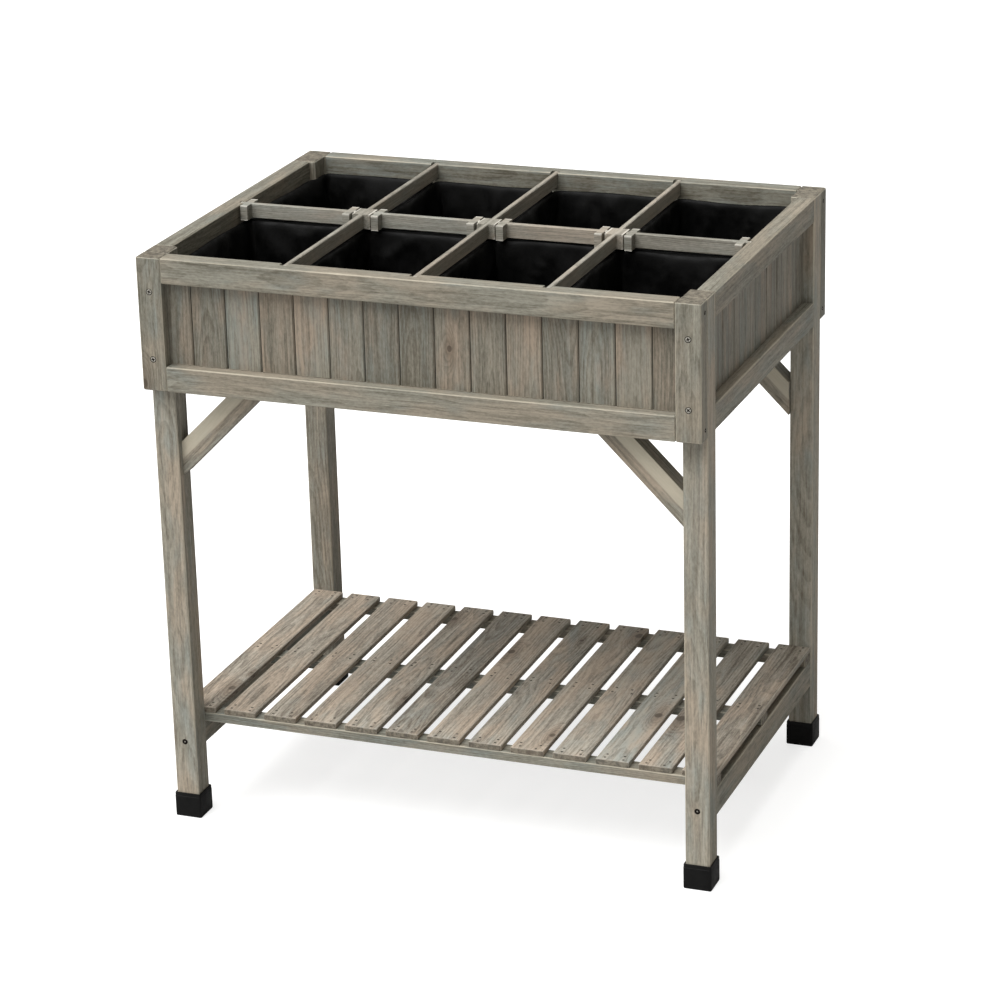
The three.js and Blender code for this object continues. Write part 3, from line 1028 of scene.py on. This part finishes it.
@dataclass
class Liner(Assembly):
    """Eight sewn pockets of black non-woven fabric."""

    columns: int = 4
    rows: int = 2
    pitch: float = 0.1775
    around: int = 112
    down: int = 30
    bottom: int = 12
    corner: float = 0.012
    bottom_round: float = 0.016
    hem: float = 0.010
    thickness: float = 0.0008
    thread_radius: float = 0.00032
    seam_ring: int = 7
    flare_reach: float = 0.0085
    flare_run: float = 0.022
    leg_inside: tuple[float, float] = (0.0, 0.0)

    def build(self) -> None:
        """Models the pockets and their stitching."""
        low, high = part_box("liner")
        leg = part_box("leg_front_right")
        self.leg_inside = (leg[0].x, -leg[1].y)
        fabric = LINER_FABRIC.material(self.effects)
        thread = THREAD.material(self.effects)
        for column in range(self.columns):
            for row in range(self.rows):
                lo_x = max((column - self.columns / 2) * self.pitch, low.x)
                hi_x = min((column + 1 - self.columns / 2) * self.pitch, high.x)
                lo_y, hi_y = (low.y, 0.0) if row == 0 else (0.0, high.y)
                span = (Vector((lo_x, lo_y, low.z)), Vector((hi_x, hi_y, high.z)))
                place = f"{row + 1}_{column + 1}"
                pocket, seam = self.pocket(f"liner_pocket_{place}", span, column * self.rows + row)
                stitches = self.stitches(f"liner_stitches_{place}", seam, Vector((lo_x + hi_x, lo_y + hi_y, 0)) / 2)
                self.finish_piece(pocket, fabric, "liner_fabric", PLANTER_BODY)
                self.finish_piece(stitches, thread, "liner_fabric", PLANTER_BODY)
        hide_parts("liner")

    def crease(self, s: float, z: float, seed: int) -> float:
        """How far the cloth stands in from its flat wall, from 0 to 1.

        Args:
            s: Distance round the pocket.
            z: Depth below the hem.
            seed: The pocket's number.

        Returns:
            A smooth random share.
        """
        broad = noise.noise(Vector((s * 15.0, z * 7.0, seed * 5.3)))
        slanted = noise.noise(Vector((s * 34.0 + z * 20.0, z * 12.0, seed * 3.1 + 40.0)))
        ridge = 1.0 - abs(noise.noise(Vector((s * 24.0 - z * 15.0, z * 9.0, seed * 7.9 + 80.0)))) * 2.0
        total = 0.36 + 0.46 * broad + 0.34 * slanted + 0.42 * max(ridge, 0.0) ** 3
        return min(max(total, 0.0), 1.0)

    def flare(self, x: float, y: float, outward: float) -> float:
        """How far the hem reaches out to a side rail, between the legs.

        Args:
            x: Place along the planter.
            y: Place from front to back.
            outward: The x part of the cloth's outward direction.

        Returns:
            The reach.
        """
        leg_x, leg_y = self.leg_inside
        if abs(x) < leg_x - self.corner:
            return 0.0
        facing_out = max(outward * math.copysign(1.0, x), 0.0)
        share = min(max((leg_y - abs(y)) / self.flare_run, 0.0), 1.0)
        return self.flare_reach * facing_out * share * share * (3 - 2 * share)

    def stitches(self, name: str, seam: list[Vector], centre: Vector) -> bpy.types.Object:
        """A row of stitches that holds down a pocket's hem.

        Args:
            name: The row's name.
            seam: Points on the cloth where it was sewn.
            centre: The pocket's middle.

        Returns:
            The stitches, as one piece.
        """
        skin = Skin()
        count = 6
        circle = [(math.cos(2 * math.pi * i / count), math.sin(2 * math.pi * i / count)) for i in range(count)]
        for here, there in zip(seam, seam[1:] + seam[:1]):
            inward = centre - here
            inward.z = 0.0
            step = there - here
            inward -= step * (inward.dot(step) / step.length_squared)
            start = here + step * 0.2 + inward.normalized() * 0.0003
            rings = []
            for along, wide in ((0.0, 0.3), (0.15, 1.0), (0.5, 1.15), (0.85, 1.0), (1.0, 0.3)):
                reach = self.thread_radius * wide
                rings.append([Vector((x * reach, y * reach, along * step.length * 0.6)) for x, y in circle])
            skin.add(*lofted(rings, True, True), facing(tuple(start), tuple(step)))
        row = piece_from(name, skin.points, skin.faces)
        shade_smooth(row, math.radians(70))
        return row

    def pocket(self, name: str, span: tuple[Vector, Vector], seed: int) -> tuple[bpy.types.Object, list[Vector]]:
        """One hanging pocket with a folded hem, soft creases and a slack floor.

        Args:
            name: The pocket's name.
            span: Its lowest and highest corner.
            seed: What makes its creases its own.

        Returns:
            The pocket, and the line that its hem is sewn along.
        """
        low, high = span
        centre = (low + high) / 2
        half_x = (high.x - low.x) / 2 - 0.0006
        half_y = (high.y - low.y) / 2 - 0.0006
        depth = high.z - low.z
        outline = self.even_outline(half_x, half_y)
        rings: list[list[Vector]] = []

        def ring(inset: float, below: float, push: float, hem_share: float) -> None:
            """Adds a ring that is inset, so far below the hem, with a share of the creases."""
            made = []
            for s, x, y, nx, ny in outline:
                inward = inset + push * self.crease(s, below, seed)
                inward -= self.flare(centre.x + x, centre.y + y, nx) * (1.0 - below / depth)
                droop = 0.0052 * hem_share * (0.5 + 0.5 * noise.noise(Vector((s * 11.0, 3.0, seed * 2.7))))
                z = high.z - below - droop
                made.append(Vector((centre.x + x - nx * inward, centre.y + y - ny * inward, z)))
            rings.append(made)

        ring(0.0002, self.hem, 0.0, 0.6)
        ring(0.0001, self.hem / 2, 0.0, 0.8)
        ring(0.0002, 0.0006, 0.0004, 1.0)
        ring(0.0009, 0.0, 0.0014, 1.0)
        ring(0.0018, 0.0008, 0.0020, 1.0)
        for level in range(self.down):
            share = (level + 1) / self.down
            below = 0.0012 + share * (depth - self.bottom_round - 0.0015)
            swell = 0.0022 + 0.0118 * math.sin(math.pi * min(share * 1.1, 1.0)) ** 0.7
            ring(0.0020, below, swell, 1.0 - share)
        for level in range(1, 5):
            turn = math.radians(90 * level / 4)
            drop = depth - self.bottom_round + self.bottom_round * math.sin(turn) - 0.0010
            inset = 0.0020 + self.bottom_round * (1 - math.cos(turn))
            ring(inset, drop, 0.004, 0.0)
        floor_ring = [p.copy() for p in rings[-1]]
        floor_low = low.z + 0.0009
        for level in range(1, self.bottom):
            share = level / self.bottom
            made = []
            for p in floor_ring:
                x = centre.x + (p.x - centre.x) * (1 - share)
                y = centre.y + (p.y - centre.y) * (1 - share)
                swirl = noise.noise(Vector((x * 22.0, y * 22.0, seed * 4.1)))
                fold = 1.0 - abs(noise.noise(Vector((x * 13.0, y * 17.0, seed * 6.3 + 9.0)))) * 2.2
                lift = 0.0035 * (0.5 + 0.5 * swirl) + 0.0045 * max(fold, 0.0) ** 2
                made.append(Vector((x, y, floor_low + lift * min(share * 4, 1.0))))
            rings.append(made)
        points, faces = lofted(rings, False, False)
        faces = [tuple(reversed(face)) for face in faces]
        last = (len(rings) - 1) * len(outline)
        middle = len(points)
        points.append(Vector((centre.x, centre.y, floor_low + 0.002)))
        faces += [(middle, last + (i + 1) % len(outline), last + i) for i in range(len(outline))]
        pocket = piece_from(name, points, faces)
        for polygon in pocket.data.polygons:
            polygon.use_smooth = True
        thick = pocket.modifiers.new("cloth", "SOLIDIFY")
        thick.thickness = self.thickness
        thick.offset = -1.0
        return pocket, rings[self.seam_ring]

    def even_outline(self, half_x: float, half_y: float) -> list[tuple[float, float, float, float, float]]:
        """Evenly spaced points on a rounded rectangle.

        Args:
            half_x: Half its width.
            half_y: Half its depth.

        Returns:
            Distance round it, x, y, and the outward direction, for each point.
        """
        r = self.corner
        straight_x, straight_y, bend = 2 * (half_x - r), 2 * (half_y - r), math.pi * r / 2
        total = 2 * (straight_x + straight_y) + 4 * bend
        parts = (
            (straight_y, (half_x, -half_y + r), (0, 1), (1, 0)),
            (straight_x, (half_x - r, half_y), (-1, 0), (0, 1)),
            (straight_y, (-half_x, half_y - r), (0, -1), (-1, 0)),
            (straight_x, (-half_x + r, -half_y), (1, 0), (0, -1)),
        )
        placed = []
        for i in range(self.around):
            s = total * i / self.around
            rest = s
            for straight, start, way, normal in parts:
                if rest <= straight:
                    x, y = start[0] + way[0] * rest, start[1] + way[1] * rest
                    placed.append((s, x, y, normal[0], normal[1]))
                    break
                rest -= straight
                if rest <= bend:
                    turn = rest / r
                    nx = normal[0] * math.cos(turn) + way[0] * math.sin(turn)
                    ny = normal[1] * math.cos(turn) + way[1] * math.sin(turn)
                    hub_x = start[0] + way[0] * straight - normal[0] * r
                    hub_y = start[1] + way[1] * straight - normal[1] * r
                    placed.append((s, hub_x + nx * r, hub_y + ny * r, nx, ny))
                    break
                rest -= bend
        return placed


@dataclass
class Fasteners(Assembly):
    """Cross-head screws, recessed bolts and shelf nails, with painted shade in and round their recesses."""

    screw_radius: float = 0.0033
    edge_radius: float = 0.0007
    bolt_radius: float = 0.0010
    bore_share: float = 4.0
    nail_radius: float = 0.0011
    stile_screws: tuple[float, float] = (0.754, 0.663)
    edge_screws: tuple[float, float] = (0.785, 0.634)
    edge_inset: float = 0.015
    bolt_height: float = 0.111

    def build(self) -> None:
        """Models all the fasteners."""
        steel = SCREW_STEEL.material(self.effects)
        shade = BORE_SHADE.material(self.effects)
        # Steel heads, and dark discs and crosses that are painted shade of the countersinks and cross recesses.
        heads, recess_shade = Skin(), Skin()
        chance = random.Random(11)
        for sx in (-1, 1):
            for sy in (-1, 1):
                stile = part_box(f"{'front' if sy < 0 else 'back'}_stile_{'left' if sx < 0 else 'right'}")
                x = (stile[0].x + stile[1].x) / 2
                y = stile[0].y if sy < 0 else stile[1].y
                edge = stile[0].x if sx < 0 else stile[1].x
                for z in self.stile_screws:
                    place = facing((x, y, z), (0, sy, 0), chance.uniform(0, math.pi))
                    self.screw(heads, recess_shade, place, self.screw_radius, 1.30)
                for z in self.edge_screws:
                    place = facing((edge, y - sy * self.edge_inset, z), (sx, 0, 0), chance.uniform(0, math.pi))
                    self.screw(heads, recess_shade, place, self.edge_radius, self.bore_share)
                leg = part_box(f"leg_{'front' if sy < 0 else 'back'}_{'left' if sx < 0 else 'right'}")
                x = (leg[0].x + leg[1].x) / 2
                y = leg[0].y if sy < 0 else leg[1].y
                place = facing((x, y, self.bolt_height), (0, sy, 0), chance.uniform(0, math.pi))
                self.screw(heads, recess_shade, place, self.bolt_radius, self.bore_share)
        for name, skin, material in (("screw_heads", heads, steel), ("screw_recess_shade", recess_shade, shade)):
            piece = piece_from(name, skin.points, skin.faces)
            shade_smooth(piece)
            self.finish_piece(piece, material, "screw_steel", PLANTER_BODY)
        self.nails(NAIL_STEEL.material(self.effects), shade)

    def screw(self, heads: Skin, recess_shade: Skin, place: Matrix, radius: float, bore: float) -> None:
        """Adds a countersunk head with a cross recess, and a dark disc round it that is painted shade of the
        countersink.

        Args:
            heads: Takes the steel.
            recess_shade: Takes the painted shade of the cross recess and of the countersink.
            place: The head's frame, with Z out of the timber.
            radius: The head's radius.
            bore: How far the painted countersink shade round it reaches, as a share of the radius.
        """
        count = 24
        outer = [(math.cos(2 * math.pi * i / count), math.sin(2 * math.pi * i / count)) for i in range(count)]
        # A dark disc just proud of the timber, painted shade of the countersink round the head.
        rings = []
        for share, z in ((bore, 0.00002), (bore - 0.08, 0.00010), (1.02, 0.00005)):
            rings.append([Vector((x * radius * share, y * radius * share, z)) for x, y in outer])
        recess_shade.add(*lofted(rings, False, False), place)
        arm, half = 0.72, 0.22
        cross = self.cross_outline(arm, half, count)
        rings = []
        for share, z in ((1.02, 0.00004), (0.96, 0.00016), (0.80, 0.00022)):
            rings.append([Vector((x * radius * share, y * radius * share, z)) for x, y in outer])
        rings.append([Vector((x * radius, y * radius, 0.00016)) for x, y in cross])
        heads.add(*lofted(rings, False, False), place)
        # The cross recess is a shallow dent coloured with painted shade.
        rings = [
            [Vector((x * radius, y * radius, 0.00016)) for x, y in cross],
            [Vector((x * radius * 0.8, y * radius * 0.8, 0.00005)) for x, y in cross],
        ]
        recess_shade.add(*lofted(rings, False, True), place)

    def cross_outline(self, arm: float, half: float, count: int) -> list[tuple[float, float]]:
        """A cross with one point for each of a circle's.

        Args:
            arm: The cross's reach.
            half: Half an arm's width.
            count: How many points.

        Returns:
            The points counterclockwise.
        """
        made = []
        for i in range(count):
            turn = 2 * math.pi * i / count
            c, s = math.cos(turn), math.sin(turn)
            reach = min(max(abs(c), abs(s)) * 10, 1.0)
            along = arm / max(abs(c), abs(s))
            side = half / max(min(abs(c), abs(s)), 1e-6)
            distance = min(along, max(side, half * math.sqrt(2))) * reach
            made.append((c * distance, s * distance))
        return made

    def nails(self, nail: bpy.types.Material, shade: bpy.types.Material) -> None:
        """Adds the nails that hold each slat to the battens.

        Args:
            nail: The nail heads' material.
            shade: The material of the painted shade round the sunk heads.
        """
        # Nail heads, and rings of painted shade round them.
        heads, rim_shade = Skin(), Skin()
        chance = random.Random(23)
        battens = [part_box(f"shelf_batten_{n}") for n in ("front", "middle", "back")]
        slats = sorted(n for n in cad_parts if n.startswith("shelf_slat_"))
        count = 10
        outer = [(math.cos(2 * math.pi * i / count), math.sin(2 * math.pi * i / count)) for i in range(count)]
        for slat in slats:
            low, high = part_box(slat)
            x_mid = (low.x + high.x) / 2
            for batten in battens:
                y_mid = (batten[0].y + batten[1].y) / 2
                for side in (-1, 1):
                    for end in (-1, 1):
                        x = x_mid + side * (0.0125 + chance.uniform(-0.002, 0.002))
                        y = y_mid + end * (0.0058 + chance.uniform(-0.0016, 0.0016))
                        place = facing((x, y, high.z), (0, 0, 1))
                        self.nail(heads, rim_shade, place, outer)
        for name, skin, material in (("nail_heads", heads, nail), ("nail_rim_shade", rim_shade, shade)):
            piece = piece_from(name, skin.points, skin.faces)
            shade_smooth(piece)
            self.finish_piece(piece, material, "screw_steel", PLANTER_BODY)

    def nail(self, heads: Skin, rim_shade: Skin, place: Matrix, outer: list[tuple[float, float]]) -> None:
        """Adds one sunk nail head and a dark ring round it, painted shade of the hole it sits in.

        Args:
            heads: Takes the steel.
            rim_shade: Takes the ring of painted shade.
            place: The head's frame.
            outer: A unit circle.
        """
        radius = self.nail_radius
        # A dark ring just proud of the slat, painted shade round the sunk head.
        rings = []
        for share, z in ((1.60, 0.00001), (1.35, 0.00006), (0.9, 0.00004)):
            rings.append([Vector((x * radius * share, y * radius * share, z)) for x, y in outer])
        rim_shade.add(*lofted(rings, False, False), place)
        rings = []
        for share, z in ((0.9, 0.00003), (0.7, 0.00009), (0.3, 0.00011)):
            rings.append([Vector((x * radius * share, y * radius * share, z)) for x, y in outer])
        heads.add(*lofted(rings, False, True), place)


# ---- Studio ----


@dataclass
class Studio:
    """Pale floor, soft light and the camera."""

    camera_place: Triple = (1.5981, -4.1190, 2.0351)
    azimuth: float = 21.15
    elevation: float = 20.21
    roll: float = -1.51
    lens: float = 125.14
    key_strength: float = 4.5
    fill_strength: float = 1.0
    back_strength: float = 0.5
    sky_strength: float = 0.30
    floor_glow: float = 0.70

    def build(self) -> None:
        """Sets up the floor, the light and the camera."""
        self.floor()
        self.light()
        self.camera()
        bpy.context.scene.view_settings.view_transform = "Standard"

    def floor(self) -> None:
        """A wide plain floor."""
        wide = 30.0
        points = [Vector((x, y, -0.0002)) for x, y in ((-wide, -wide), (wide, -wide), (wide, wide), (-wide, wide))]
        ground = piece_from("studio_floor", points, [(0, 1, 2, 3)])
        material, graph, shader = new_material("studio_floor")
        mottle = graph.noise(graph.put("ShaderNodeTexCoord").outputs["Object"], 3.0, 3.0)
        graph.feed(shader.inputs["Base Color"], graph.blend(mottle, (0.44, 0.44, 0.44), (0.46, 0.46, 0.46)))
        shader.inputs["Roughness"].default_value = 0.9
        shader.inputs["Specular IOR Level"].default_value = 0.1
        seen = graph.put("ShaderNodeLightPath").outputs["Is Camera Ray"]
        glow = graph.blend(seen, (0.0, 0.0, 0.0), (1.0, 1.0, 1.0))
        graph.feed(shader.inputs["Emission Color"], glow)
        shader.inputs["Emission Strength"].default_value = self.floor_glow
        ground.data.materials.append(material)

    def light(self) -> None:
        """A soft key from above and in front and weak fills, under an even pale sky."""
        world = bpy.data.worlds.new("studio_sky")
        bpy.context.scene.world = world
        world.use_nodes = True
        sky = world.node_tree.nodes["Background"]
        sky.inputs["Color"].default_value = (1.0, 0.960, 0.870, 1.0)
        sky.inputs["Strength"].default_value = self.sky_strength
        self.lamp("key_light", self.key_strength, (-0.30, -0.38, 1.0), 55)
        self.lamp("fill_light", self.fill_strength, (-0.40, -1.0, 0.50), 70)
        self.lamp("back_light", self.back_strength, (-0.10, 1.0, 0.30), 70)

    def lamp(self, name: str, strength: float, source: Triple, spread: float) -> None:
        """Adds a soft light from far away.

        Args:
            name: The light's name.
            strength: Its strength.
            source: The way from the planter to it.
            spread: How wide it looks, in degrees.
        """
        lamp = bpy.data.lights.new(name, "SUN")
        lamp.energy = strength
        lamp.angle = math.radians(spread)
        held = bpy.data.objects.new(name, lamp)
        bpy.context.scene.collection.objects.link(held)
        held.rotation_euler = Vector(source).to_track_quat("Z", "Y").to_euler()

    def camera(self) -> None:
        """A long lens from the front right, a little above the rim."""
        data = bpy.data.cameras.new("studio_camera")
        data.lens = self.lens
        data.sensor_width = 36.0
        data.clip_end = 200.0
        camera = bpy.data.objects.new("studio_camera", data)
        bpy.context.scene.collection.objects.link(camera)
        az, el, roll = (math.radians(a) for a in (self.azimuth, self.elevation, self.roll))
        back = Vector((math.sin(az) * math.cos(el), -math.cos(az) * math.cos(el), math.sin(el)))
        right = (-back).cross(Vector((0, 0, 1))).normalized()
        up = right.cross(-back).normalized()
        turned_right = math.cos(roll) * right + math.sin(roll) * up
        turned_up = math.cos(roll) * up - math.sin(roll) * right
        turn = Matrix((turned_right, turned_up, back)).transposed().to_4x4()
        camera.matrix_world = Matrix.Translation(self.camera_place) @ turn
        bpy.context.scene.camera = camera


def main() -> None:
    """Builds every assembly in order and logs its pieces."""
    logging.basicConfig(level=logging.INFO, format="%(message)s", force=True)
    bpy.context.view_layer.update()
    Studio().build()
    effects = Effects()
    for assembly in (Timbers, DividerGrid, FootCaps, Liner, Fasteners):
        made = assembly(effects)
        made.build()
        LOG.info("%s: %d pieces", assembly.__name__, len(made.reported))


if __name__ == "__main__":
    main()
